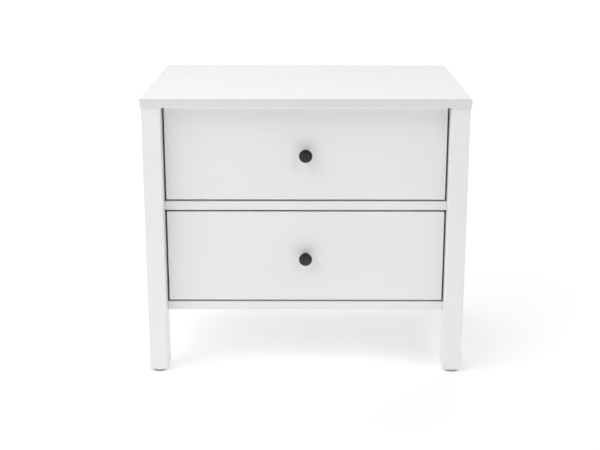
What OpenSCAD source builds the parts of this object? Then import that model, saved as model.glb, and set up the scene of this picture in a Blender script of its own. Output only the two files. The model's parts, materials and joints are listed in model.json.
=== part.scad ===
// Nightstand with two drawers in a white lacquered case that stands on four square legs.
// Frame: +Z up, the front faces -Y, +X is to the right of someone facing the front.
// Origin: middle of the footprint, on the floor. All sizes are in millimetres.

/* [Overall size] */
// Width of the top panel
top_w = 535; // [520:5:600]
// Depth of the top panel
top_d = 400; // [395:5:450]
// Height from the floor to the upper face of the top panel
overall_h = 472; // [460:2:540]
// How far the top panel reaches past the legs at each side
side_overhang = 1.5; // [0:0.5:10]
// How far the top panel reaches past the legs at the front and the back
front_overhang = 3; // [0:0.5:10]

/* [Legs and feet] */
// Width of a leg, seen from the front
leg_w = 31; // [28:1:40]
// Depth of a leg, seen from the side
leg_d = 44; // [40:1:50]
// Height of the underside of the case above the floor
case_z = 103.5; // [80:0.5:130]
// Diameter of the plastic glide under each leg
glide_d = 25; // [18:1:26]
// Height of the plastic glide
glide_h = 4; // [3:0.5:6]
// Distance of the glide's rim behind the outer face of its leg, front or back
glide_inset = 0.5; // [0.5:0.5:8]

/* [Boards] */
// Thickness of the top panel
top_t = 15.5; // [15:0.5:18]
// Thickness of the case panels, the rail and the drawer fronts
board = 15; // [15:0.5:16]
// Thickness of the drawer sides and drawer backs
box_board = 12; // [12:0.5:13]
// Thickness of the hardboard back panel and drawer bottoms
hardboard = 3; // [2.5:0.5:4]
// Size of the eased edge on the lacquered boards
arris = 0.8; // [0.3:0.1:1.2]
// Depth of the middle rail, front to back
rail_d = 60; // [50:5:90]

/* [Drawers] */
// Gap all round each drawer front
drawer_gap = 3; // [2:0.5:4]
// Distance of the drawer fronts behind the front of the legs
front_recess = 25; // [15:1:27]
// Height of the drawer box behind each front
box_h = 115; // [100:5:120]
// Height of the drawer box's lower edge above the lower edge of its front
box_lift = 14; // [10:1:20]
// How far each drawer pulls out
travel = 220; // [200:5:220]

/* [Knobs] */
// Diameter of the knob's round front
knob_d = 22; // [18:1:30]
// Diameter of the knob where it meets the drawer front
knob_base_d = 13.5; // [10:0.5:14]
// Length of the knob
knob_l = 21; // [18:1:24]

/* [Drawer slides] */
// Length of the slide
slide_l = 300; // [300:10:310]
// Height of the slide
slide_h = 35.4; // [35:0.1:36]
// Thickness of the closed slide, from the side panel to the drawer side
slide_t = 12.7; // [12.7:0.1:13]
// Thickness of the slide's steel sheet
sheet = 1.2; // [1:0.1:1.2]
// Diameter of a bearing ball
ball_d = 4.76; // [4.5:0.01:4.8]

/* [Hidden] */

$fn = 48;
lacquer = "#f4f4f3";
foil = "#efefed";
hardboard_white = "#e9e9e6";
charcoal = "#3a3a3c";
zinc = "#c3c6ca";
bright_steel = "#dcdfe3";
grey_plastic = "#7d7d7f";
beech = "#d9b98c";

left = -1;
right = 1;
front = -1;
back = 1;
// Room left round a fastener or a panel that sits in a hole or a groove
fit = 0.05;
// Extra length that lets a cut run past a face
past = 1;

// Case
top_z = overall_h - top_t;
leg_x = top_w / 2 - side_overhang;
inner_x = leg_x - leg_w;
leg_front_y = front_overhang - top_d / 2;
side_front_y = leg_front_y + leg_d;
leg_mid_x = inner_x + leg_w / 2;
leg_mid_y = leg_front_y + leg_d / 2;
glide_y = leg_front_y + glide_inset + glide_d / 2;
face_y = leg_front_y + front_recess;
opening_h = (top_z - case_z - 2 * board) / 2;
rail_z = case_z + board + opening_h;
back_panel_y = top_d / 2 - 15;
groove_d = 5.5;

// Drawers
face_h = opening_h - 2 * drawer_gap;
face_x = inner_x - drawer_gap;
lower_z = case_z + board + drawer_gap;
upper_z = rail_z + board + drawer_gap;
box_front_y = face_y + board;
box_back_y = box_front_y + slide_l + 10;
box_x = inner_x - slide_t;
box_inner_x = box_x - box_board;
drawer_groove_lift = box_lift + 10;

// Slides
slide_y = box_front_y + 7 + slide_l / 2;
slide_lift = box_lift + 45;
race_r = ball_d / 2 + 0.12;
ball_u = slide_t / 2 + 0.5;
ball_v = slide_h / 2 - sheet - race_r;
race_gap = 0.8;
drawer_member_v = ball_v - race_r;
closed_gap = 0.3;
drawer_member_l = slide_l - sheet - closed_gap;
cage_t = 0.6;
cage_u = sheet + 0.5;
cage_w = 7.9;
cage_l = slide_l - travel - 8;
ball_pitch = 14;
ball_rows = [-2:2];
slide_screw_y = [-130, -45, 115];

// Places of the fasteners: along Y for the cams, above a part's lower edge for the drawer's
top_cam_y = 100;
bottom_cam_y = 110;
leg_dowel_z = [case_z + 45, case_z + 145, top_z - 55];
panel_dowel_in = 10;
back_nail_count = 6;
back_nail_pitch = 80;
front_cam_lift = 70;
front_dowel_lifts = [30, 95];
back_screw_lifts = [25, 90];

// Fasteners
cam_d = 15;
cam_setback = 24;
cam_floor = 2.5;
cam_bolt_d = 6;
cam_bolt_head = 3;
cam_passage_d = 7.2;
bolt_bite = 10;
dowel_bite = 10;
dowel_stem = 18;
case_dowel_d = 8;
box_dowel_d = 6;
slide_screw_d = 3.5;
screw_tip_d = 0.6;
screw_head_d = 6.4;
box_screw_l = 35;
box_screw_head_d = 7.4;
box_screw_head_h = 2;
knob_screw_d = 4;
knob_screw_l = 24;
knob_hole_d = 4.4;
cabinet_screw_l = 12;
drawer_screw_l = 10;
nail_d = 1.6;
nail_l = 20;
nail_head_d = 5;
nail_head_h = 1;
glide_nail_d = 2.4;
glide_nail_top = 17.5;
glide_nail_head_d = 6.5;
glide_nail_head_h = 1;
glide_recess = 2;
glide_bevel = 1;

// ---------- Helpers ----------

// Shows the children on the right side, or mirrored on the left side
module on_side(side) {
    if (side == right) children();
    else mirror([1, 0, 0]) children();
}

module on_both_sides() {
    children();
    mirror([1, 0, 0]) children();
}

// Shows the children at the front end, or mirrored at the back end
module at_end(end) {
    if (end == front) children();
    else mirror([0, 1, 0]) children();
}

// A board from corner lo to corner hi with every edge eased by a small chamfer
module eased_board(lo, hi, ease = arris) {
    hull() {
        for (axis = [0:2]) {
            inset = [for (i = [0:2]) i == axis ? 0 : ease];
            translate(lo + inset) cube(hi - lo - 2 * inset);
        }
    }
}

// A plain box from corner lo to corner hi
module block(lo, hi) {
    translate(lo) cube(hi - lo);
}

// A rod along X that starts at x
module rod_x(x, d, l) {
    translate([x, 0, 0]) rotate([0, 90, 0]) cylinder(d = d, h = l);
}

// ---------- Fasteners ----------

// Cam lock in a board of thickness t. Its slotted face is at z = 0 and its bolt comes in along +X.
module cam_lock(t) {
    difference() {
        translate([0, 0, cam_floor - t]) cylinder(d = cam_d - 4 * fit, h = t - cam_floor);
        translate([0, 0, -t / 2]) rod_x(-cam_bolt_head - past, cam_passage_d, cam_d);
        cross_recess(0, 10, 1.6, 1.8);
    }
}

// Bolt that the cam lock grips: head in the cam, plain stem, thread in the board beyond the joint
module cam_bolt(t) {
    collar = 1.5;
    translate([0, 0, -t / 2]) {
        rod_x(-cam_bolt_head, cam_bolt_d, cam_bolt_head);
        rod_x(-cam_bolt_head / 2, cam_bolt_d - 2, cam_setback + cam_bolt_head);
        rod_x(cam_setback, cam_bolt_d, bolt_bite);
        rod_x(cam_setback - collar, cam_bolt_d + 1, collar);
    }
}

// Pocket, passage and threaded hole for one cam lock and its bolt
module cam_cut(t) {
    translate([0, 0, cam_floor - fit - t]) cylinder(d = cam_d, h = t - cam_floor + fit + past);
    translate([0, 0, -t / 2]) {
        rod_x(0, cam_passage_d, cam_setback);
        rod_x(cam_setback - past, cam_bolt_d + 2 * fit, bolt_bite + past + fit);
    }
}

// Dowel whose joint plane is z = 0: the stem goes down into a board's edge, the bite goes up
module dowel(d) {
    bevel = d / 8;
    translate([0, 0, -dowel_stem + bevel]) cylinder(d = d, h = dowel_stem + dowel_bite - 2 * bevel);
    translate([0, 0, -dowel_stem]) cylinder(d1 = d - 2 * bevel, d2 = d, h = bevel);
    translate([0, 0, dowel_bite - bevel]) cylinder(d1 = d, d2 = d - 2 * bevel, h = bevel);
}

// Hole for a dowel, a little deeper than the dowel at both ends
module dowel_cut(d) {
    spare = 0.5;
    translate([0, 0, -dowel_stem - spare])
        cylinder(d = d + 2 * fit, h = dowel_stem + dowel_bite + 2 * spare);
}

// Countersunk screw through a sheet that lies on z = 0, with its head flush with the sheet
module sheet_screw(l) {
    point = slide_screw_d;
    difference() {
        union() {
            cylinder(d1 = screw_head_d - 2 * sheet, d2 = screw_head_d, h = sheet);
            translate([0, 0, point - l]) cylinder(d = slide_screw_d, h = l - point + sheet / 2);
            translate([0, 0, -l]) cylinder(d1 = screw_tip_d, d2 = slide_screw_d, h = point);
        }
        cross_recess(sheet, 3.4, 0.8, 0.8);
    }
}

module sheet_screw_cut(l) {
    cylinder(d1 = screw_head_d - 2 * sheet + 2 * fit, d2 = screw_head_d + 2 * fit, h = sheet);
    translate([0, 0, -l - fit]) cylinder(d = slide_screw_d + 2 * fit, h = l + sheet);
}

// Cross of the given arm length, slot width and depth, cut into a head whose face is at height z
module cross_recess(z, arm, slot, depth) {
    block([-arm / 2, -slot / 2, z - depth], [arm / 2, slot / 2, z + past]);
    block([-slot / 2, -arm / 2, z - depth], [slot / 2, arm / 2, z + past]);
}

// Long countersunk wood screw with its head flush with z = 0
module wood_screw(l) {
    point = slide_screw_d;
    difference() {
        union() {
            translate([0, 0, -box_screw_head_h])
                cylinder(d1 = slide_screw_d, d2 = box_screw_head_d, h = box_screw_head_h);
            translate([0, 0, point - l]) cylinder(d = slide_screw_d, h = l - point);
            translate([0, 0, -l]) cylinder(d1 = screw_tip_d, d2 = slide_screw_d, h = point);
        }
        cross_recess(0, 3.6, 0.9, 1.2);
    }
}

module wood_screw_cut(l) {
    translate([0, 0, -box_screw_head_h])
        cylinder(d1 = slide_screw_d + 2 * fit, d2 = box_screw_head_d + 2 * fit, h = box_screw_head_h);
    translate([0, 0, -l - fit]) cylinder(d = slide_screw_d + 2 * fit, h = l + fit);
}

// ---------- Places of the case's fasteners, on the right side ----------

module at_top_cams() {
    for (y = [-top_cam_y, top_cam_y])
        translate([inner_x, y, top_z - cam_setback]) rotate([0, -90, 0]) children();
}

module at_bottom_cams() {
    for (y = [-bottom_cam_y, bottom_cam_y])
        translate([inner_x - cam_setback, y, case_z]) rotate([180, 0, 0]) children();
}

module at_rail_cams() {
    translate([inner_x - cam_setback, face_y + rail_d / 2, rail_z]) rotate([180, 0, 0]) children();
}

module at_case_cams() {
    at_top_cams() children();
    at_bottom_cams() children();
    at_rail_cams() children();
}

// Dowels from the ends of the side panel into the legs
module at_leg_dowels() {
    for (end = [front, back], z = leg_dowel_z)
        at_end(end) translate([inner_x + board / 2, side_front_y, z]) rotate([90, 0, 0]) children();
}

// Dowels from the ends of the bottom panel and the middle rail into the legs
module at_panel_dowels() {
    for (z = [case_z + board / 2, rail_z + board / 2])
        translate([inner_x, face_y + panel_dowel_in, z]) rotate([0, 90, 0]) children();
    translate([inner_x, -side_front_y + panel_dowel_in, case_z + board / 2])
        rotate([0, 90, 0]) children();
}

// Dowels from the tops of the legs into the top panel
module at_top_dowels() {
    for (end = [front, back])
        at_end(end) translate([leg_mid_x, leg_mid_y, top_z]) children();
}

module at_case_dowels() {
    at_leg_dowels() children();
    at_panel_dowels() children();
    at_top_dowels() children();
}

// The nails of the back panel point forward, into the rear edge of the bottom panel
module at_back_nails() {
    first_x = -(back_nail_count - 1) / 2 * back_nail_pitch;
    for (i = [0:back_nail_count - 1])
        translate([first_x + i * back_nail_pitch, back_panel_y + hardboard, case_z + board / 2])
            rotate([-90, 0, 0]) children();
}

// ---------- Case ----------

module top_panel_shape() {
    difference() {
        eased_board([-top_w / 2, -top_d / 2, top_z], [top_w / 2, top_d / 2, overall_h]);
        on_both_sides() {
            at_top_cams() cam_cut(board);
            at_top_dowels() dowel_cut(case_dowel_d);
        }
        back_panel_groove();
    }
}

module leg(side, end) {
    on_side(side) difference() {
        at_end(end)
            eased_board([inner_x, leg_front_y, glide_h], [leg_x, side_front_y, top_z]);
        at_case_dowels() dowel_cut(case_dowel_d);
        at_end(end) translate([leg_mid_x, glide_y, 0]) glide_nail_hole();
        back_panel_groove();
    }
}

module side_panel(side) {
    on_side(side) difference() {
        eased_board([inner_x, side_front_y, case_z], [inner_x + board, -side_front_y, top_z]);
        at_case_cams() cam_cut(board);
        at_leg_dowels() dowel_cut(case_dowel_d);
        for (z = [lower_z, upper_z]) in_slide(z) at_cabinet_screws() sheet_screw_cut(cabinet_screw_l);
    }
}

// The groove that holds the hardboard back in the rear legs and the top panel
module back_panel_groove() {
    groove_x = inner_x + groove_d + 0.3;
    block([-groove_x, back_panel_y - fit, case_z - fit],
          [groove_x, back_panel_y + hardboard + fit, top_z + groove_d + 0.3]);
}

module bottom_panel_shape() {
    difference() {
        eased_board([-inner_x, face_y, case_z], [inner_x, back_panel_y, case_z + board]);
        on_both_sides() {
            at_bottom_cams() cam_cut(board);
            at_panel_dowels() dowel_cut(case_dowel_d);
        }
        at_back_nails() nail_cut();
    }
}

module middle_rail_shape() {
    difference() {
        eased_board([-inner_x, face_y, rail_z], [inner_x, face_y + rail_d, rail_z + board]);
        on_both_sides() {
            at_rail_cams() cam_cut(board);
            at_panel_dowels() dowel_cut(case_dowel_d);
        }
    }
}

module back_panel_shape() {
    difference() {
        block([-inner_x - groove_d, back_panel_y, case_z],
              [inner_x + groove_d, back_panel_y + hardboard, top_z + groove_d]);
        at_back_nails() nail_cut();
    }
}

// Nail whose head lies on z = 0 and whose shank points down
module nail() {
    translate([0, 0, -nail_l]) cylinder(d = nail_d, h = nail_l);
    cylinder(d1 = nail_head_d, d2 = nail_head_d - 1, h = nail_head_h);
}

module nail_cut() {
    translate([0, 0, -nail_l - fit]) cylinder(d = nail_d + 2 * fit, h = nail_l + past);
}

// Plastic glide under a leg, with a recess for the head of the nail that holds it
module glide(side, end) {
    on_side(side) at_end(end) translate([leg_mid_x, glide_y, 0]) difference() {
        union() {
            cylinder(d1 = glide_d - 2 * glide_bevel, d2 = glide_d, h = glide_bevel);
            translate([0, 0, glide_bevel]) cylinder(d = glide_d, h = glide_h - glide_bevel);
        }
        translate([0, 0, -past]) cylinder(d = glide_nail_head_d + 0.5, h = past + glide_recess);
        glide_nail_hole();
    }
}

module glide_nail() {
    translate([0, 0, glide_recess - glide_nail_head_h])
        cylinder(d = glide_nail_head_d, h = glide_nail_head_h);
    translate([0, 0, glide_recess]) cylinder(d = glide_nail_d, h = glide_nail_top - glide_recess);
}

module glide_nail_hole() {
    cylinder(d = glide_nail_d + 2 * fit, h = glide_nail_top + past);
}

// ---------- Drawer slides ----------

// Puts the children in the frame of the right slide of the drawer whose front starts at z:
// +X runs from the side panel to the drawer, Y runs along the slide and z = 0 is its mid height.
module in_slide(z) {
    translate([inner_x, slide_y, z + slide_lift]) mirror([1, 0, 0]) children();
}

module at_cabinet_screws() {
    for (y = slide_screw_y) translate([0, y, 0]) rotate([0, 90, 0]) children();
}

module at_drawer_screws() {
    for (y = slide_screw_y) translate([slide_t, y, 0]) rotate([0, -90, 0]) children();
}

// Extrudes a section drawn in X and Z between two places along Y
module along_y(y0, y1) {
    translate([0, y1, 0]) rotate([90, 0, 0]) linear_extrude(height = y1 - y0) children();
}

module up_and_down() {
    children();
    mirror([0, 1]) children();
}

// Quarter of a ball race, bent round the middle of the ball, and short of the ball cage
module race_quarter() {
    intersection() {
        difference() {
            circle(r = race_r + sheet);
            circle(r = race_r);
        }
        translate([0, race_gap]) square(race_r + sheet);
    }
}

module cabinet_member_section() {
    translate([0, -slide_h / 2]) square([sheet, slide_h]);
    up_and_down() {
        translate([0, slide_h / 2 - sheet]) square([ball_u, sheet]);
        translate([ball_u, ball_v]) race_quarter();
    }
}

module drawer_member_section() {
    translate([slide_t - sheet, -drawer_member_v]) square([sheet, 2 * drawer_member_v]);
    up_and_down() {
        translate([ball_u, drawer_member_v - sheet]) square([slide_t - ball_u, sheet]);
        translate([ball_u, ball_v]) rotate(180) race_quarter();
    }
}

// Member screwed to the side panel, with a front tab that stops the cage and a rear tab that
// stops the closed drawer
module cabinet_slide(side, z) {
    end = slide_l / 2;
    cage_tab_w = 10;
    cage_tab_u = cage_u + cage_t + 0.4;
    rear_tab_u = slide_t - 1.7;
    on_side(side) in_slide(z) difference() {
        union() {
            along_y(-end, end) cabinet_member_section();
            block([0, -end, -cage_tab_w / 2], [cage_tab_u, sheet - end, cage_tab_w / 2]);
            block([0, end - sheet, -drawer_member_v], [rear_tab_u, end, drawer_member_v]);
        }
        at_cabinet_screws() sheet_screw_cut(cabinet_screw_l);
    }
}

// Member screwed to the drawer side, with rear tabs that stop the cage
module drawer_slide(side, z) {
    start = -slide_l / 2;
    rear = start + drawer_member_l;
    tab = [2.6, 1.4];
    tab_place = [sheet + 0.4, drawer_member_v + 0.1];
    on_side(side) in_slide(z) difference() {
        union() {
            along_y(start, rear) drawer_member_section();
            along_y(rear - sheet, rear) up_and_down() translate(tab_place) square(tab);
        }
        at_drawer_screws() sheet_screw_cut(drawer_screw_l);
    }
}

module at_balls() {
    for (i = ball_rows, v = [-ball_v, ball_v])
        translate([ball_u, i * ball_pitch, v]) children();
}

module cage_section() {
    difference() {
        translate([cage_u, -ball_v - cage_t / 2]) square([cage_w, 2 * ball_v + cage_t]);
        translate([cage_u + cage_t, -ball_v + cage_t / 2]) square([cage_w, 2 * ball_v - cage_t]);
    }
}

// Sheet cage that keeps the balls of one slide apart
module ball_cage(side, z) {
    on_side(side) in_slide(z) difference() {
        along_y(-cage_l / 2, cage_l / 2) cage_section();
        at_balls() cylinder(d = ball_d + 0.24, h = 2, center = true);
    }
}

module slide_balls(z) {
    on_both_sides() in_slide(z) at_balls() sphere(d = ball_d);
}

// ---------- Drawers ----------
// z is the height of the lower edge of the drawer's front

// Places on the right side where the drawer side is joined to the front
module at_front_cam(z) {
    translate([box_inner_x, box_front_y + cam_setback, z + box_lift + front_cam_lift])
        rotate([0, -90, 0]) rotate([0, 0, -90]) children();
}

module at_front_dowels(z) {
    for (h = front_dowel_lifts)
        translate([box_inner_x + box_board / 2, box_front_y, z + box_lift + h])
            rotate([90, 0, 0]) children();
}

// Screws through the drawer side into the end of the drawer back
module at_back_screws(z) {
    for (h = back_screw_lifts)
        translate([box_x, box_back_y - box_board / 2, z + box_lift + h])
            rotate([0, 90, 0]) children();
}

// Frame of the knob and its screw: z = 0 is the face of the drawer front and +Z points forward
module at_knob(z) {
    translate([0, face_y, z + face_h / 2]) rotate([90, 0, 0]) children();
}

// Groove for the drawer bottom, in the front, the sides and the back
module drawer_bottom_groove(z) {
    reach = groove_d + 0.3;
    block([-box_inner_x - reach, box_front_y - reach, z + drawer_groove_lift - fit],
          [box_inner_x + reach, box_back_y - box_board + reach, z + drawer_groove_lift + hardboard + fit]);
}

module drawer_front(z) {
    difference() {
        eased_board([-face_x, face_y, z], [face_x, box_front_y, z + face_h]);
        drawer_bottom_groove(z);
        on_both_sides() {
            at_front_cam(z) cam_cut(box_board);
            at_front_dowels(z) dowel_cut(box_dowel_d);
        }
        at_knob(z) translate([0, 0, -board - past])
            cylinder(d = knob_hole_d, h = board + 2 * past);
    }
}

module drawer_side(side, z) {
    lift = z + box_lift;
    on_side(side) difference() {
        eased_board([box_inner_x, box_front_y, lift], [box_x, box_back_y, lift + box_h], 0.5);
        drawer_bottom_groove_through(z);
        at_front_cam(z) cam_cut(box_board);
        at_front_dowels(z) dowel_cut(box_dowel_d);
        at_back_screws(z) wood_screw_cut(box_screw_l);
        in_slide(z) at_drawer_screws() sheet_screw_cut(drawer_screw_l);
    }
}

// The groove runs out at both ends of a drawer side
module drawer_bottom_groove_through(z) {
    block([0, box_front_y - past, z + drawer_groove_lift - fit],
          [box_inner_x + groove_d + 0.3, box_back_y + past, z + drawer_groove_lift + hardboard + fit]);
}

module drawer_back(z) {
    lift = z + box_lift;
    difference() {
        eased_board([-box_inner_x, box_back_y - box_board, lift],
                    [box_inner_x, box_back_y, lift + box_h], 0.5);
        drawer_bottom_groove(z);
        on_both_sides() at_back_screws(z) wood_screw_cut(box_screw_l);
    }
}

module drawer_bottom(z) {
    block([-box_inner_x - groove_d, box_front_y - groove_d, z + drawer_groove_lift],
          [box_inner_x + groove_d, box_back_y - box_board + groove_d, z + drawer_groove_lift + hardboard]);
}

// Points on an arc about a centre, from angle a to angle b
function arc(centre, r, a, b, steps) =
    [for (i = [0:steps]) centre + r * [cos(a + (b - a) * i / steps), sin(a + (b - a) * i / steps)]];

// Round knob that flares from a narrow base to a wide front with a soft edge
module knob(z) {
    base_r = knob_base_d / 2;
    neck_r = base_r - 0.8;
    foot = 1;
    edge_r = 1.4;
    dome = 0.8;
    at_knob(z) difference() {
        rotate_extrude() polygon(concat(
            [[0, 0], [base_r, 0], [base_r, foot], [neck_r, 2.5 * foot], [neck_r, 4 * foot]],
            arc([knob_d / 2 - edge_r, knob_l - dome - edge_r], edge_r, -30, 90, 6),
            [[knob_d / 4, knob_l - dome / 4], [0, knob_l]]
        ));
        translate([0, 0, -past])
            cylinder(d = knob_screw_d + 2 * fit, h = past + knob_screw_l - board + 2);
    }
}

// Machine screw from inside the drawer, through the front and into the knob
module knob_screw(z) {
    head_d = 2 * knob_screw_d;
    head_h = 2.6;
    bevel = 0.8;
    at_knob(z) difference() {
        union() {
            translate([0, 0, -board - head_h])
                cylinder(d1 = head_d - 2 * bevel, d2 = head_d, h = bevel);
            translate([0, 0, -board - head_h + bevel]) cylinder(d = head_d, h = head_h - bevel);
            translate([0, 0, -board]) cylinder(d = knob_screw_d, h = knob_screw_l);
        }
        translate([0, 0, -board - head_h]) mirror([0, 0, 1]) cross_recess(0, 4.4, 1.1, 1.5);
    }
}

// ---------- One module for each piece ----------

module top_panel() { color(lacquer) top_panel_shape(); }
module front_left_leg() { color(lacquer) leg(left, front); }
module front_right_leg() { color(lacquer) leg(right, front); }
module back_left_leg() { color(lacquer) leg(left, back); }
module back_right_leg() { color(lacquer) leg(right, back); }
module left_side_panel() { color(lacquer) side_panel(left); }
module right_side_panel() { color(lacquer) side_panel(right); }
module bottom_panel() { color(lacquer) bottom_panel_shape(); }
module middle_rail() { color(lacquer) middle_rail_shape(); }
module back_panel() { color(hardboard_white) back_panel_shape(); }
module front_left_glide() { color(grey_plastic) glide(left, front); }
module front_right_glide() { color(grey_plastic) glide(right, front); }
module back_left_glide() { color(grey_plastic) glide(left, back); }
module back_right_glide() { color(grey_plastic) glide(right, back); }

module glide_nails() {
    color(zinc) on_both_sides() for (end = [front, back])
        at_end(end) translate([leg_mid_x, glide_y, 0]) glide_nail();
}

module case_cam_locks() { color(zinc) on_both_sides() at_case_cams() cam_lock(board); }
module case_cam_bolts() { color(zinc) on_both_sides() at_case_cams() cam_bolt(board); }
module case_dowels() { color(beech) on_both_sides() at_case_dowels() dowel(case_dowel_d); }
module back_panel_nails() { color(zinc) at_back_nails() nail(); }

module upper_left_cabinet_slide() { color(zinc) cabinet_slide(left, upper_z); }
module upper_right_cabinet_slide() { color(zinc) cabinet_slide(right, upper_z); }
module lower_left_cabinet_slide() { color(zinc) cabinet_slide(left, lower_z); }
module lower_right_cabinet_slide() { color(zinc) cabinet_slide(right, lower_z); }

module cabinet_slide_screws() {
    color(zinc) on_both_sides() for (z = [lower_z, upper_z])
        in_slide(z) at_cabinet_screws() sheet_screw(cabinet_screw_l);
}

module drawer_slide_screws(z) { on_both_sides() in_slide(z) at_drawer_screws() sheet_screw(drawer_screw_l); }
module drawer_cam_locks(z) { on_both_sides() at_front_cam(z) cam_lock(box_board); }
module drawer_cam_bolts(z) { on_both_sides() at_front_cam(z) cam_bolt(box_board); }
module drawer_dowels(z) { on_both_sides() at_front_dowels(z) dowel(box_dowel_d); }
module drawer_back_screws(z) { on_both_sides() at_back_screws(z) wood_screw(box_screw_l); }

module upper_drawer_front() { color(lacquer) drawer_front(upper_z); }
module upper_drawer_left_side() { color(foil) drawer_side(left, upper_z); }
module upper_drawer_right_side() { color(foil) drawer_side(right, upper_z); }
module upper_drawer_back() { color(foil) drawer_back(upper_z); }
module upper_drawer_bottom() { color(hardboard_white) drawer_bottom(upper_z); }
module upper_knob() { color(charcoal) knob(upper_z); }
module upper_knob_screw() { color(zinc) knob_screw(upper_z); }
module upper_left_drawer_slide() { color(zinc) drawer_slide(left, upper_z); }
module upper_right_drawer_slide() { color(zinc) drawer_slide(right, upper_z); }
module upper_drawer_slide_screws() { color(zinc) drawer_slide_screws(upper_z); }
module upper_drawer_cam_locks() { color(zinc) drawer_cam_locks(upper_z); }
module upper_drawer_cam_bolts() { color(zinc) drawer_cam_bolts(upper_z); }
module upper_drawer_dowels() { color(beech) drawer_dowels(upper_z); }
module upper_drawer_back_screws() { color(zinc) drawer_back_screws(upper_z); }
module upper_left_ball_cage() { color(zinc) ball_cage(left, upper_z); }
module upper_right_ball_cage() { color(zinc) ball_cage(right, upper_z); }
module upper_slide_balls() { color(bright_steel) slide_balls(upper_z); }

module lower_drawer_front() { color(lacquer) drawer_front(lower_z); }
module lower_drawer_left_side() { color(foil) drawer_side(left, lower_z); }
module lower_drawer_right_side() { color(foil) drawer_side(right, lower_z); }
module lower_drawer_back() { color(foil) drawer_back(lower_z); }
module lower_drawer_bottom() { color(hardboard_white) drawer_bottom(lower_z); }
module lower_knob() { color(charcoal) knob(lower_z); }
module lower_knob_screw() { color(zinc) knob_screw(lower_z); }
module lower_left_drawer_slide() { color(zinc) drawer_slide(left, lower_z); }
module lower_right_drawer_slide() { color(zinc) drawer_slide(right, lower_z); }
module lower_drawer_slide_screws() { color(zinc) drawer_slide_screws(lower_z); }
module lower_drawer_cam_locks() { color(zinc) drawer_cam_locks(lower_z); }
module lower_drawer_cam_bolts() { color(zinc) drawer_cam_bolts(lower_z); }
module lower_drawer_dowels() { color(beech) drawer_dowels(lower_z); }
module lower_drawer_back_screws() { color(zinc) drawer_back_screws(lower_z); }
module lower_left_ball_cage() { color(zinc) ball_cage(left, lower_z); }
module lower_right_ball_cage() { color(zinc) ball_cage(right, lower_z); }
module lower_slide_balls() { color(bright_steel) slide_balls(lower_z); }

top_panel();
front_left_leg();
front_right_leg();
back_left_leg();
back_right_leg();
left_side_panel();
right_side_panel();
bottom_panel();
middle_rail();
back_panel();
front_left_glide();
front_right_glide();
back_left_glide();
back_right_glide();
glide_nails();
case_cam_locks();
case_cam_bolts();
case_dowels();
back_panel_nails();
upper_left_cabinet_slide();
upper_right_cabinet_slide();
lower_left_cabinet_slide();
lower_right_cabinet_slide();
cabinet_slide_screws();
upper_drawer_front();
upper_drawer_left_side();
upper_drawer_right_side();
upper_drawer_back();
upper_drawer_bottom();
upper_knob();
upper_knob_screw();
upper_left_drawer_slide();
upper_right_drawer_slide();
upper_drawer_slide_screws();
upper_drawer_cam_locks();
upper_drawer_cam_bolts();
upper_drawer_dowels();
upper_drawer_back_screws();
upper_left_ball_cage();
upper_right_ball_cage();
upper_slide_balls();
lower_drawer_front();
lower_drawer_left_side();
lower_drawer_right_side();
lower_drawer_back();
lower_drawer_bottom();
lower_knob();
lower_knob_screw();
lower_left_drawer_slide();
lower_right_drawer_slide();
lower_drawer_slide_screws();
lower_drawer_cam_locks();
lower_drawer_cam_bolts();
lower_drawer_dowels();
lower_drawer_back_screws();
lower_left_ball_cage();
lower_right_ball_cage();
lower_slide_balls();
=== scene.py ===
"""The looks of a white nightstand with two drawers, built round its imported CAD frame.

Everything is in metres, in the frame's own axes: +Z up, the drawers open towards -Y.
"""

import json
import math

import bmesh
import bpy
from mathutils import Matrix, Vector


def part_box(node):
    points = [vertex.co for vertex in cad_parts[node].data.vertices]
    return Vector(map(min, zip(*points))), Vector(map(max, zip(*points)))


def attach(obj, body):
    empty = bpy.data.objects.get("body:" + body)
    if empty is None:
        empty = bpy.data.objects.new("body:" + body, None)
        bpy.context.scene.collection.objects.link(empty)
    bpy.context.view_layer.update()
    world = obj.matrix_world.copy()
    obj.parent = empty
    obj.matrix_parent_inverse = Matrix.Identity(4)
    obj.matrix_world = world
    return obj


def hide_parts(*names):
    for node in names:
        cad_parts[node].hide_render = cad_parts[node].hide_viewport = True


MM = 0.001

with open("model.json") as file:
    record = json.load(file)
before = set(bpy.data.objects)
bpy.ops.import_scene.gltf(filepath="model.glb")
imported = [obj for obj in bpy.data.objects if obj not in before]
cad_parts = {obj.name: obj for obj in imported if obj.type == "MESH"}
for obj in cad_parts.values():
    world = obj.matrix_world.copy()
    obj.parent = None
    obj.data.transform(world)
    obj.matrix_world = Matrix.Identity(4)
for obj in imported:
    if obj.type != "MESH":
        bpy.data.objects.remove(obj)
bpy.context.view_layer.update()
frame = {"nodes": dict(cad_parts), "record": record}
bodies = frame["record"]["behaviour"]["bodies"]
body_of_node = {node: body for body, nodes in bodies.items() for node in nodes}
slot_of_node = {part["node"]: part["material_slot"] for part in frame["record"]["subparts"]}
look_of_slot = {look["slot"]: look for look in frame["record"]["materials"]}


# ---------- Materials ----------

# A noise's values lie mostly between these two, so colours and numbers run from one end to the other there
NOISE_LOW = 0.3
NOISE_HIGH = 0.7


def new_material(name):
    """A node material with its node tree and its Principled shader."""
    material = bpy.data.materials.new(name)
    material.use_nodes = True
    return material, material.node_tree, material.node_tree.nodes["Principled BSDF"]


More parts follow.
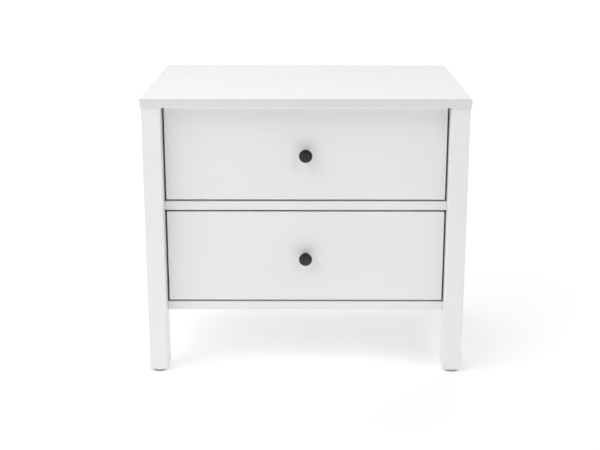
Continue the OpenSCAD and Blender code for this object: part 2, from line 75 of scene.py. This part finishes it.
def noise(tree, scale, detail=2.0, roughness=0.5, stretch=(1, 1, 1)):
    """The 0 to 1 output of a noise texture on object coordinates. Scale is in features per metre."""
    coordinates = tree.nodes.new("ShaderNodeTexCoord")
    mapping = tree.nodes.new("ShaderNodeMapping")
    texture = tree.nodes.new("ShaderNodeTexNoise")
    mapping.inputs["Scale"].default_value = stretch
    texture.inputs["Scale"].default_value = scale
    texture.inputs["Detail"].default_value = detail
    texture.inputs["Roughness"].default_value = roughness
    tree.links.new(coordinates.outputs["Object"], mapping.inputs["Vector"])
    tree.links.new(mapping.outputs["Vector"], texture.inputs["Vector"])
    return texture.outputs["Fac"]


def blend_colours(tree, factor, first, second):
    """A colour that runs from first to second with the noise that is the factor."""
    ramp = tree.nodes.new("ShaderNodeValToRGB")
    ramp.color_ramp.elements[0].position = NOISE_LOW
    ramp.color_ramp.elements[1].position = NOISE_HIGH
    ramp.color_ramp.elements[0].color = (*first, 1)
    ramp.color_ramp.elements[1].color = (*second, 1)
    tree.links.new(factor, ramp.inputs["Fac"])
    return ramp.outputs["Color"]


def blend_values(tree, factor, low, high):
    """A number that runs from low to high with the noise that is the factor."""
    span = tree.nodes.new("ShaderNodeMapRange")
    span.inputs["From Min"].default_value = NOISE_LOW
    span.inputs["From Max"].default_value = NOISE_HIGH
    span.inputs["To Min"].default_value = low
    span.inputs["To Max"].default_value = high
    tree.links.new(factor, span.inputs["Value"])
    return span.outputs["Result"]


def bump(tree, height, depth, normal=None):
    """A bump of the given depth in metres, laid on top of another bump if one is given."""
    node = tree.nodes.new("ShaderNodeBump")
    node.inputs["Strength"].default_value = 1.0
    node.inputs["Distance"].default_value = depth
    tree.links.new(height, node.inputs["Height"])
    if normal is not None:
        tree.links.new(normal, node.inputs["Normal"])
    return node.outputs["Normal"]


def lacquer(name, dark, light):
    """Sprayed satin lacquer: an almost even tone, a fine orange peel, and long shallow waves in the gloss."""
    material, tree, shader = new_material(name)
    tone = blend_colours(tree, noise(tree, 4), dark, light)
    sheen = blend_values(tree, noise(tree, 30, detail=3), 0.36, 0.44)
    waves = bump(tree, noise(tree, 14), 0.02 * MM)
    peel = bump(tree, noise(tree, 420, detail=1), 0.006 * MM, waves)
    tree.links.new(tone, shader.inputs["Base Color"])
    tree.links.new(sheen, shader.inputs["Roughness"])
    tree.links.new(peel, shader.inputs["Normal"])
    return material


def white_lacquer():
    return lacquer("white_lacquer", (0.835, 0.835, 0.832), (0.855, 0.855, 0.851))


def shaded_edge_lacquer():
    """Lacquer a little darker than white_lacquer, for the top panel's upright faces: painted shade that makes
    the edges read darker than the top.
    """
    return lacquer("shaded_edge_lacquer", (0.725, 0.725, 0.723), (0.745, 0.745, 0.743))


def white_foil():
    """Matt printed foil on the drawer boxes, with a faint pressed grain along the boards."""
    material, tree, shader = new_material("white_foil")
    grain = noise(tree, 60, detail=4, stretch=(1, 1, 14))
    tone = blend_colours(tree, grain, (0.765, 0.764, 0.755), (0.790, 0.789, 0.782))
    tree.links.new(tone, shader.inputs["Base Color"])
    tree.links.new(blend_values(tree, grain, 0.46, 0.56), shader.inputs["Roughness"])
    tree.links.new(bump(tree, grain, 0.02 * MM), shader.inputs["Normal"])
    return material


def white_hardboard():
    """Thin painted fibreboard: matt, with the felted mottle of its fibres."""
    material, tree, shader = new_material("white_hardboard")
    fibres = noise(tree, 260, detail=6, roughness=0.65)
    tone = blend_colours(tree, fibres, (0.730, 0.727, 0.712), (0.775, 0.773, 0.762))
    tree.links.new(tone, shader.inputs["Base Color"])
    tree.links.new(blend_values(tree, fibres, 0.55, 0.70), shader.inputs["Roughness"])
    tree.links.new(bump(tree, fibres, 0.03 * MM), shader.inputs["Normal"])
    return material


def charcoal_paint():
    """Satin powder coat on the knobs, with its fine pebbled skin."""
    material, tree, shader = new_material("charcoal_paint")
    pebbles = noise(tree, 1400, detail=2)
    tone = blend_colours(tree, noise(tree, 300, detail=3), (0.004, 0.004, 0.0045), (0.008, 0.008, 0.0085))
    tree.links.new(tone, shader.inputs["Base Color"])
    tree.links.new(blend_values(tree, pebbles, 0.22, 0.32), shader.inputs["Roughness"])
    tree.links.new(bump(tree, pebbles, 0.01 * MM), shader.inputs["Normal"])
    return material


def metal(name, dark, light, gloss, grain, depth, stretch=(1, 1, 1)):
    """Bare or plated metal: its tone, gloss (two roughness values) and relief follow one noise."""
    material, tree, shader = new_material(name)
    pattern = noise(tree, grain, detail=4, roughness=0.6, stretch=stretch)
    tree.links.new(blend_colours(tree, pattern, dark, light), shader.inputs["Base Color"])
    tree.links.new(blend_values(tree, pattern, *gloss), shader.inputs["Roughness"])
    tree.links.new(bump(tree, pattern, depth), shader.inputs["Normal"])
    shader.inputs["Metallic"].default_value = 1.0
    return material


def slide_zinc():
    """Zinc-plated strip steel, with rolling lines along the slide."""
    return metal("slide_zinc", (0.56, 0.575, 0.60), (0.68, 0.69, 0.71), (0.22, 0.36), 900, 0.004 * MM,
                 stretch=(1, 0.02, 1))


def fastener_zinc():
    return metal("fastener_zinc", (0.54, 0.55, 0.56), (0.66, 0.66, 0.67), (0.25, 0.40), 500, 0.008 * MM)


def cast_zinc():
    return metal("cast_zinc", (0.42, 0.43, 0.45), (0.54, 0.55, 0.57), (0.42, 0.60), 900, 0.03 * MM)


def ball_steel():
    return metal("ball_steel", (0.70, 0.71, 0.73), (0.78, 0.79, 0.81), (0.05, 0.12), 700, 0.001 * MM)


def grey_plastic():
    """Moulded polyethylene of the glides."""
    material, tree, shader = new_material("grey_plastic")
    skin = noise(tree, 900, detail=3)
    tone = blend_colours(tree, skin, (0.34, 0.34, 0.345), (0.39, 0.39, 0.395))
    tree.links.new(tone, shader.inputs["Base Color"])
    tree.links.new(blend_values(tree, skin, 0.48, 0.60), shader.inputs["Roughness"])
    tree.links.new(bump(tree, skin, 0.02 * MM), shader.inputs["Normal"])
    return material


def beech():
    """Plain beech of the dowels, with short darker flecks."""
    material, tree, shader = new_material("beech")
    flecks = noise(tree, 900, detail=4, roughness=0.6, stretch=(1, 1, 0.2))
    tone = blend_colours(tree, flecks, (0.46, 0.30, 0.17), (0.62, 0.44, 0.27))
    tree.links.new(tone, shader.inputs["Base Color"])
    tree.links.new(bump(tree, flecks, 0.03 * MM), shader.inputs["Normal"])
    shader.inputs["Roughness"].default_value = 0.6
    return material


MATERIALS = {
    make.__name__: make()
    for make in (white_lacquer, shaded_edge_lacquer, white_foil, white_hardboard, charcoal_paint, slide_zinc,
                 fastener_zinc, cast_zinc, ball_steel, grey_plastic, beech)
}


# ---------- Mesh helpers ----------


def new_piece(name, mesh, node):
    """An object that stands for a CAD node: it rides on the node's body and takes its slot's finish."""
    piece = bpy.data.objects.new(name, mesh)
    bpy.context.scene.collection.objects.link(piece)
    piece.data.materials.clear()
    piece.data.materials.append(MATERIALS[slot_of_node[node]])
    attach(piece, body_of_node[node])
    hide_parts(node)
    return piece


def to_mesh(shape, name):
    """Turns a bmesh into a mesh with outward normals and smooth faces."""
    bmesh.ops.recalc_face_normals(shape, faces=shape.faces[:])
    for face in shape.faces:
        face.smooth = True
    mesh = bpy.data.meshes.new(name)
    shape.to_mesh(mesh)
    shape.free()
    return mesh


def rounded_box(low, high, radius):
    """A box between two corners, with every edge rounded."""
    segments = 4
    shape = bmesh.new()
    bmesh.ops.create_cube(shape, size=1.0)
    for vertex in shape.verts:
        share = vertex.co + Vector((0.5, 0.5, 0.5))
        vertex.co = Vector(low[i] + (high[i] - low[i]) * share[i] for i in range(3))
    bmesh.ops.bevel(shape, geom=shape.edges[:], offset=radius, segments=segments, profile=0.5,
                    affect="EDGES", clamp_overlap=True)
    return shape


def add_rod(shape, start, end, radius):
    """Adds a closed round rod between two points."""
    sides = 48
    along = end - start
    turn = along.to_track_quat("Z", "Y").to_matrix().to_4x4()
    bmesh.ops.create_cone(shape, cap_ends=True, cap_tris=False, segments=sides,
                          radius1=radius, radius2=radius, depth=along.length,
                          matrix=Matrix.Translation((start + end) / 2) @ turn)


def add_box(shape, low, high):
    """Adds a plain box between two corners."""
    middle = (low + high) / 2
    size = high - low
    bmesh.ops.create_cube(shape, size=1.0, matrix=Matrix.Translation(middle) @ Matrix.Diagonal((*size, 1)))


def solids(node):
    """The lowest and highest corner of each separate solid in a CAD node."""
    weld_within = 0.002 * MM
    shape = bmesh.new()
    shape.from_mesh(frame["nodes"][node].data)
    bmesh.ops.remove_doubles(shape, verts=shape.verts[:], dist=weld_within)
    found = []
    seen = set()
    for first in shape.verts:
        if first in seen:
            continue
        seen.add(first)
        stack = [first]
        points = []
        while stack:
            vertex = stack.pop()
            points.append(vertex.co.copy())
            for edge in vertex.link_edges:
                other = edge.other_vert(vertex)
                if other not in seen:
                    seen.add(other)
                    stack.append(other)
        found.append((Vector(min(p[i] for p in points) for i in range(3)),
                      Vector(max(p[i] for p in points) for i in range(3))))
    shape.free()
    return found


def cut(mesh, cutter, name):
    """The mesh with the cutter's shape taken away, and the edges of the cut kept sharp."""
    body = bpy.data.objects.new(name, mesh)
    tool = bpy.data.objects.new(name + "_tool", to_mesh(cutter, name + "_tool"))
    for each in (body, tool):
        bpy.context.scene.collection.objects.link(each)
    modifier = body.modifiers.new("cut", "BOOLEAN")
    modifier.operation = "DIFFERENCE"
    modifier.solver = "EXACT"
    modifier.use_self = True
    modifier.object = tool
    bpy.context.view_layer.update()
    result = bpy.data.meshes.new_from_object(body.evaluated_get(bpy.context.evaluated_depsgraph_get()))
    for each in (body, tool):
        bpy.data.objects.remove(each)
    return result


def soften(piece):
    """Shades flat faces flat and rounded edges round, with a crease where faces meet at a sharp angle."""
    sharp_above = math.radians(40)
    mesh = piece.data
    shape = bmesh.new()
    shape.from_mesh(mesh)
    for face in shape.faces:
        face.smooth = True
    for edge in shape.edges:
        edge.smooth = len(edge.link_faces) == 2 and edge.calc_face_angle(0) < sharp_above
    shape.to_mesh(mesh)
    shape.free()
    # At full weight the largest face round a corner alone decides which way the corner is shaded
    normals = piece.modifiers.new("normals", "WEIGHTED_NORMAL")
    normals.keep_sharp = True
    normals.weight = 100


# ---------- Boards ----------

# Radii of the boards' edges, the room round what is let into them, and how far a hole goes past a face
LACQUERED_EDGE = 1.1 * MM
BOX_EDGE = 0.6 * MM
THIN_EDGE = 0.25 * MM
CLEARANCE = 0.1 * MM
PAST_THE_FACE = 1 * MM

# The fasteners that the boards are drilled for. Cam locks are flat drums, the others are longer than wide.
LONG_FASTENERS = ("case_dowels", "case_cam_bolts", "cabinet_slide_screws", "back_panel_nails", "glide_nails",
                  *(f"{drawer}_drawer_{kind}" for drawer in ("upper", "lower")
                    for kind in ("dowels", "cam_bolts", "slide_screws", "back_screws")))
CAM_LOCKS = ("case_cam_locks", "upper_drawer_cam_locks", "lower_drawer_cam_locks")
KNOB_SCREWS = ("upper_knob_screw", "lower_knob_screw")


def overlaps(low, high, other_low, other_high):
    """Whether two boxes share more than a touching face."""
    return all(low[i] < other_high[i] - CLEARANCE and high[i] > other_low[i] + CLEARANCE for i in range(3))


def drill(board_low, board_high, body):
    """A cutter with a hole for each fastener of the body that reaches into the board's box."""
    cutter = bmesh.new()
    for node in (*LONG_FASTENERS, *CAM_LOCKS, *KNOB_SCREWS):
        if body_of_node[node] != body:
            continue
        for low, high in solids(node):
            if not overlaps(low, high, board_low, board_high):
                continue
            size = high - low
            pick = min if node in CAM_LOCKS else max
            axis = pick(range(3), key=lambda i: size[i])
            across = min(size[i] for i in range(3) if i != axis)
            start = (low + high) / 2
            end = start.copy()
            start[axis] = low[axis] - CLEARANCE
            end[axis] = high[axis] + CLEARANCE
            # A fastener that ends flush with the board's face has its hole carried out through the face
            if abs(low[axis] - board_low[axis]) < CLEARANCE:
                start[axis] -= PAST_THE_FACE
            if abs(high[axis] - board_high[axis]) < CLEARANCE:
                end[axis] += PAST_THE_FACE
            add_rod(cutter, start, end, across / 2 + CLEARANCE)
    return cutter


def board(node, edge, groove=None):
    """A board in the place of a CAD board, with rounded edges, its fasteners' holes and its groove."""
    low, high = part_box(node)
    name = node + "_board"
    mesh = to_mesh(rounded_box(low, high, edge), name)
    cutter = drill(low, high, body_of_node[node])
    if groove is not None:
        add_box(cutter, *groove)
    if cutter.verts:
        mesh = cut(mesh, cutter, name)
    else:
        cutter.free()
    piece = new_piece(name, mesh, node)
    soften(piece)
    return piece


def panel_groove(node):
    """The box of a thin panel, grown by the clearance that it has in its groove."""
    low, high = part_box(node)
    room = Vector((CLEARANCE, CLEARANCE, CLEARANCE))
    return low - room, high + room


def paint_shade_on_edges(piece):
    """Gives a flat-lying board's upright faces the darker copy of its lacquer: painted shade on the edges,
    picked by which way each face points.
    """
    piece.data.materials.append(MATERIALS["shaded_edge_lacquer"])
    edge_material = 1
    upright_below = 0.1
    for face in piece.data.polygons:
        if abs(face.normal.z) < upright_below:
            face.material_index = edge_material


back_groove = panel_groove("back_panel")
# The top panel's edges get painted shade: a darker copy of its lacquer
paint_shade_on_edges(board("top_panel", LACQUERED_EDGE, back_groove))
for node in ("back_left_leg", "back_right_leg"):
    board(node, LACQUERED_EDGE, back_groove)
for node in ("front_left_leg", "front_right_leg", "left_side_panel", "right_side_panel", "bottom_panel",
             "middle_rail"):
    board(node, LACQUERED_EDGE)
board("back_panel", THIN_EDGE)

for drawer in ("upper", "lower"):
    bottom_groove = panel_groove(f"{drawer}_drawer_bottom")
    board(f"{drawer}_drawer_front", LACQUERED_EDGE, bottom_groove)
    for part in ("left_side", "right_side", "back"):
        board(f"{drawer}_drawer_{part}", BOX_EDGE, bottom_groove)
    board(f"{drawer}_drawer_bottom", THIN_EDGE)


# ---------- Turned pieces ----------


def arc(centre, radius, first, last, steps):
    """Points on an arc between two angles in degrees, as (distance from the axis, distance along it)."""
    angles = [math.radians(first + (last - first) * i / steps) for i in range(steps + 1)]
    return [(centre[0] + radius * math.cos(a), centre[1] + radius * math.sin(a)) for a in angles]


def turned(node, profile, origin, axis, sides=96):
    """A turned piece: the profile's (radius, along) points, turned about an axis through the origin."""
    on_the_axis = 0.0001 * MM
    shape = bmesh.new()
    rings = []
    for radius, along in profile:
        if radius < on_the_axis:
            rings.append([shape.verts.new((0, 0, along))])
        else:
            rings.append([shape.verts.new((radius * math.cos(2 * math.pi * k / sides),
                                           radius * math.sin(2 * math.pi * k / sides), along))
                          for k in range(sides)])
    for first, second in zip(rings, rings[1:]):
        for k in range(sides):
            corners = [first[k % len(first)], first[(k + 1) % len(first)],
                       second[(k + 1) % len(second)], second[k % len(second)]]
            shape.faces.new(list(dict.fromkeys(corners)))
    turn = Vector(axis).to_track_quat("Z", "Y").to_matrix().to_4x4()
    shape.transform(Matrix.Translation(origin) @ turn)
    name = node + "_turned"
    piece = new_piece(name, to_mesh(shape, name), node)
    soften(piece)
    return piece


def knob(node):
    """Knob that flares from a narrow foot to a wide, faintly domed front with a soft edge."""
    low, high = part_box(node)
    radius = (high.x - low.x) / 2
    length = high.y - low.y
    origin = Vector(((low.x + high.x) / 2, high.y, (low.z + high.z) / 2))
    foot = 6.75 * MM
    foot_edge = 0.3 * MM
    foot_top = 1.2 * MM
    shoulder = 6.65 * MM
    shoulder_end = 1.5 * MM
    neck = 5.95 * MM
    neck_start = 2.4 * MM
    neck_end = 4.2 * MM
    flare_power = 1.15
    edge = 1.4 * MM
    dome = 0.8 * MM
    bore = 2.1 * MM
    bore_depth = 11 * MM
    rim = arc((radius - edge, length - dome - edge), edge, -25, 80, 12)
    flare = [(neck + (rim[0][0] - neck) * t ** flare_power, neck_end + (rim[0][1] - neck_end) * t)
             for t in (0, 0.15, 0.3, 0.45, 0.6, 0.75, 0.9)]
    face = [(rim[-1][0] * t, length - dome * t * t) for t in (0.85, 0.7, 0.55, 0.4, 0.25, 0.1, 0)]
    profile = [(0, bore_depth), (bore, bore_depth), (bore, 0),
               *arc((foot - foot_edge, foot_edge), foot_edge, -90, 0, 4), (foot, foot_top),
               (shoulder, shoulder_end), (neck, neck_start), *flare, *rim, *face]
    return turned(node, profile, origin, (0, -1, 0))


def glide(node):
    """Round glide with a soft rim and a recess for its nail's head."""
    low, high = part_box(node)
    radius = (high.x - low.x) / 2
    height = high.z - low.z
    rim = 1.0 * MM
    small_edge = 0.4 * MM
    recess = 3.5 * MM
    recess_depth = 2.0 * MM
    hole = 1.3 * MM
    origin = Vector(((low.x + high.x) / 2, (low.y + high.y) / 2, low.z))
    profile = [(hole, height), (hole, recess_depth), (recess, recess_depth), (recess, small_edge),
               *arc((recess + small_edge, small_edge), small_edge, 180, 270, 5),
               *arc((radius - rim, rim), rim, 270, 360, 8),
               *arc((radius - small_edge, height - small_edge), small_edge, 0, 90, 5), (hole, height)]
    return turned(node, profile, origin, (0, 0, 1), sides=64)


for drawer in ("upper", "lower"):
    knob(f"{drawer}_knob")
for end in ("front", "back"):
    for side in ("left", "right"):
        glide(f"{end}_{side}_glide")


# ---------- Hardware that keeps its CAD shape ----------

for name, node in frame["nodes"].items():
    if node.hide_render:
        continue
    node.data.materials.clear()
    node.data.materials.append(MATERIALS[slot_of_node[name]])


# ---------- Studio ----------


def smooth_rise(tree, value, start, end, low, high):
    """A number that eases from low to high as the value runs from start to end."""
    rise = tree.nodes.new("ShaderNodeMapRange")
    rise.interpolation_type = "SMOOTHSTEP"
    rise.inputs["From Min"].default_value = start
    rise.inputs["From Max"].default_value = end
    rise.inputs["To Min"].default_value = low
    rise.inputs["To Max"].default_value = high
    tree.links.new(value, rise.inputs["Value"])
    return rise.outputs["Result"]


def plain_floor():
    """Large white floor. Its own glow keeps shadows pale, and makes up for the lamps' fall-off far away.

    The glow grows with the distance on every side, and sooner behind the object and beside it, as in a
    studio with a lit backdrop, so that little of it gets in under the front of the top panel.
    """
    half_width = 20
    near_glow = 0.325
    far_glow = 0.9
    far_start = 2.5
    far_end = 9.0
    # The backdrop's glow follows Y plus this share of the distance, which is high behind the object,
    # lower beside it and negative in front
    side_share = 0.5
    backdrop_glow = 0.6
    backdrop_start = 0.9
    backdrop_end = 3.9
    material, tree, shader = new_material("studio_floor")
    coordinates = tree.nodes.new("ShaderNodeTexCoord")
    distance = tree.nodes.new("ShaderNodeVectorMath")
    distance.operation = "LENGTH"
    parts = tree.nodes.new("ShaderNodeSeparateXYZ")
    behind = tree.nodes.new("ShaderNodeMath")
    behind.operation = "MULTIPLY_ADD"
    behind.inputs[1].default_value = side_share
    glow = tree.nodes.new("ShaderNodeMath")
    glow.operation = "ADD"
    tree.links.new(coordinates.outputs["Object"], distance.inputs[0])
    tree.links.new(coordinates.outputs["Object"], parts.inputs["Vector"])
    tree.links.new(distance.outputs["Value"], behind.inputs[0])
    tree.links.new(parts.outputs["Y"], behind.inputs[2])
    around = smooth_rise(tree, distance.outputs["Value"], far_start, far_end, near_glow, far_glow)
    backdrop = smooth_rise(tree, behind.outputs["Value"], backdrop_start, backdrop_end, 0.0, backdrop_glow)
    tree.links.new(around, glow.inputs[0])
    tree.links.new(backdrop, glow.inputs[1])
    tree.links.new(glow.outputs["Value"], shader.inputs["Emission Strength"])
    shader.inputs["Emission Color"].default_value = (1, 1, 1, 1)
    shader.inputs["Base Color"].default_value = (0.80, 0.80, 0.80, 1)
    shader.inputs["Roughness"].default_value = 0.9
    shader.inputs["Specular IOR Level"].default_value = 0.1
    shape = bmesh.new()
    bmesh.ops.create_grid(shape, x_segments=1, y_segments=1, size=half_width)
    floor = bpy.data.objects.new("studio_floor", to_mesh(shape, "studio_floor"))
    bpy.context.scene.collection.objects.link(floor)
    floor.data.materials.append(material)


def soft_light(name, place, target, width, height, watts):
    """A rectangular lamp that faces its target."""
    lamp = bpy.data.lights.new(name, "AREA")
    lamp.shape = "RECTANGLE"
    lamp.size = width
    lamp.size_y = height
    lamp.energy = watts
    light = bpy.data.objects.new(name, lamp)
    light.location = place
    light.rotation_euler = (Vector(target) - Vector(place)).to_track_quat("-Z", "Y").to_euler()
    bpy.context.scene.collection.objects.link(light)
    return light


def pale_world():
    """White at the horizon, as where a studio's floor meets its wall, then pale, and dim above.

    Heights are the upward part of the direction: 0 at the horizon and 1 straight up.
    """
    haze_top = 0.02
    dim_from = 0.12
    haze_glow = 0.65
    pale_glow = 0.45
    dim_glow = 0.05
    world = bpy.data.worlds.new("studio")
    world.use_nodes = True
    tree = world.node_tree
    background = tree.nodes["Background"]
    coordinates = tree.nodes.new("ShaderNodeTexCoord")
    direction = tree.nodes.new("ShaderNodeSeparateXYZ")
    tree.links.new(coordinates.outputs["Generated"], direction.inputs["Vector"])
    wall = smooth_rise(tree, direction.outputs["Z"], haze_top, dim_from, pale_glow, dim_glow)
    haze = smooth_rise(tree, direction.outputs["Z"], 0.0, haze_top, haze_glow, 0.0)
    both = tree.nodes.new("ShaderNodeMath")
    both.operation = "ADD"
    tree.links.new(wall, both.inputs[0])
    tree.links.new(haze, both.inputs[1])
    tree.links.new(both.outputs["Value"], background.inputs["Strength"])
    background.inputs["Color"].default_value = (1, 1, 1, 1)
    bpy.context.scene.world = world


def studio():
    """Large softboxes: the key in front on the left, weaker ones round the object, and two overhead."""
    bpy.context.scene.view_settings.view_transform = "Standard"
    middle = (0, 0, 0.25)
    large = 2.2
    small = 1.6
    soft_light("key_softbox", (-1.3, -1.3, 2.09), middle, large, large, 32)
    soft_light("side_softbox", (-2.39, -0.51, 1.14), middle, small, small, 11)
    soft_light("left_back_softbox", (-1.59, 0.92, 2.09), middle, small, small, 7)
    soft_light("right_softbox", (1.53, -1.28, 1.92), middle, large, large, 20.5)
    soft_light("top_softbox", (0, -0.09, 2.85), middle, large, large, 10)
    soft_light("back_softbox", (0, 1.67, 2.24), middle, large, large, 39)
    # A weak lamp that lies on the floor in front, faces up and is itself unseen, like a white card
    card = soft_light("front_card", (0, -0.45, 0.002), (0, -0.45, 1), 1.6, 0.5, 0.5)
    card.visible_camera = False


def camera():
    """The photo's view: from in front, a little above the top, looking slightly down."""
    lens = bpy.data.cameras.new("camera")
    lens.sensor_width = 36
    lens.lens = 68
    lens.clip_end = 100
    view = bpy.data.objects.new("camera", lens)
    view.location = (-0.001, -2.0, 0.768)
    pitch = math.radians(15.7)
    turn = math.radians(0.26)
    view.rotation_euler = (math.pi / 2 - pitch, 0, turn)
    bpy.context.scene.collection.objects.link(view)
    bpy.context.scene.camera = view


plain_floor()
pale_world()
studio()
camera()
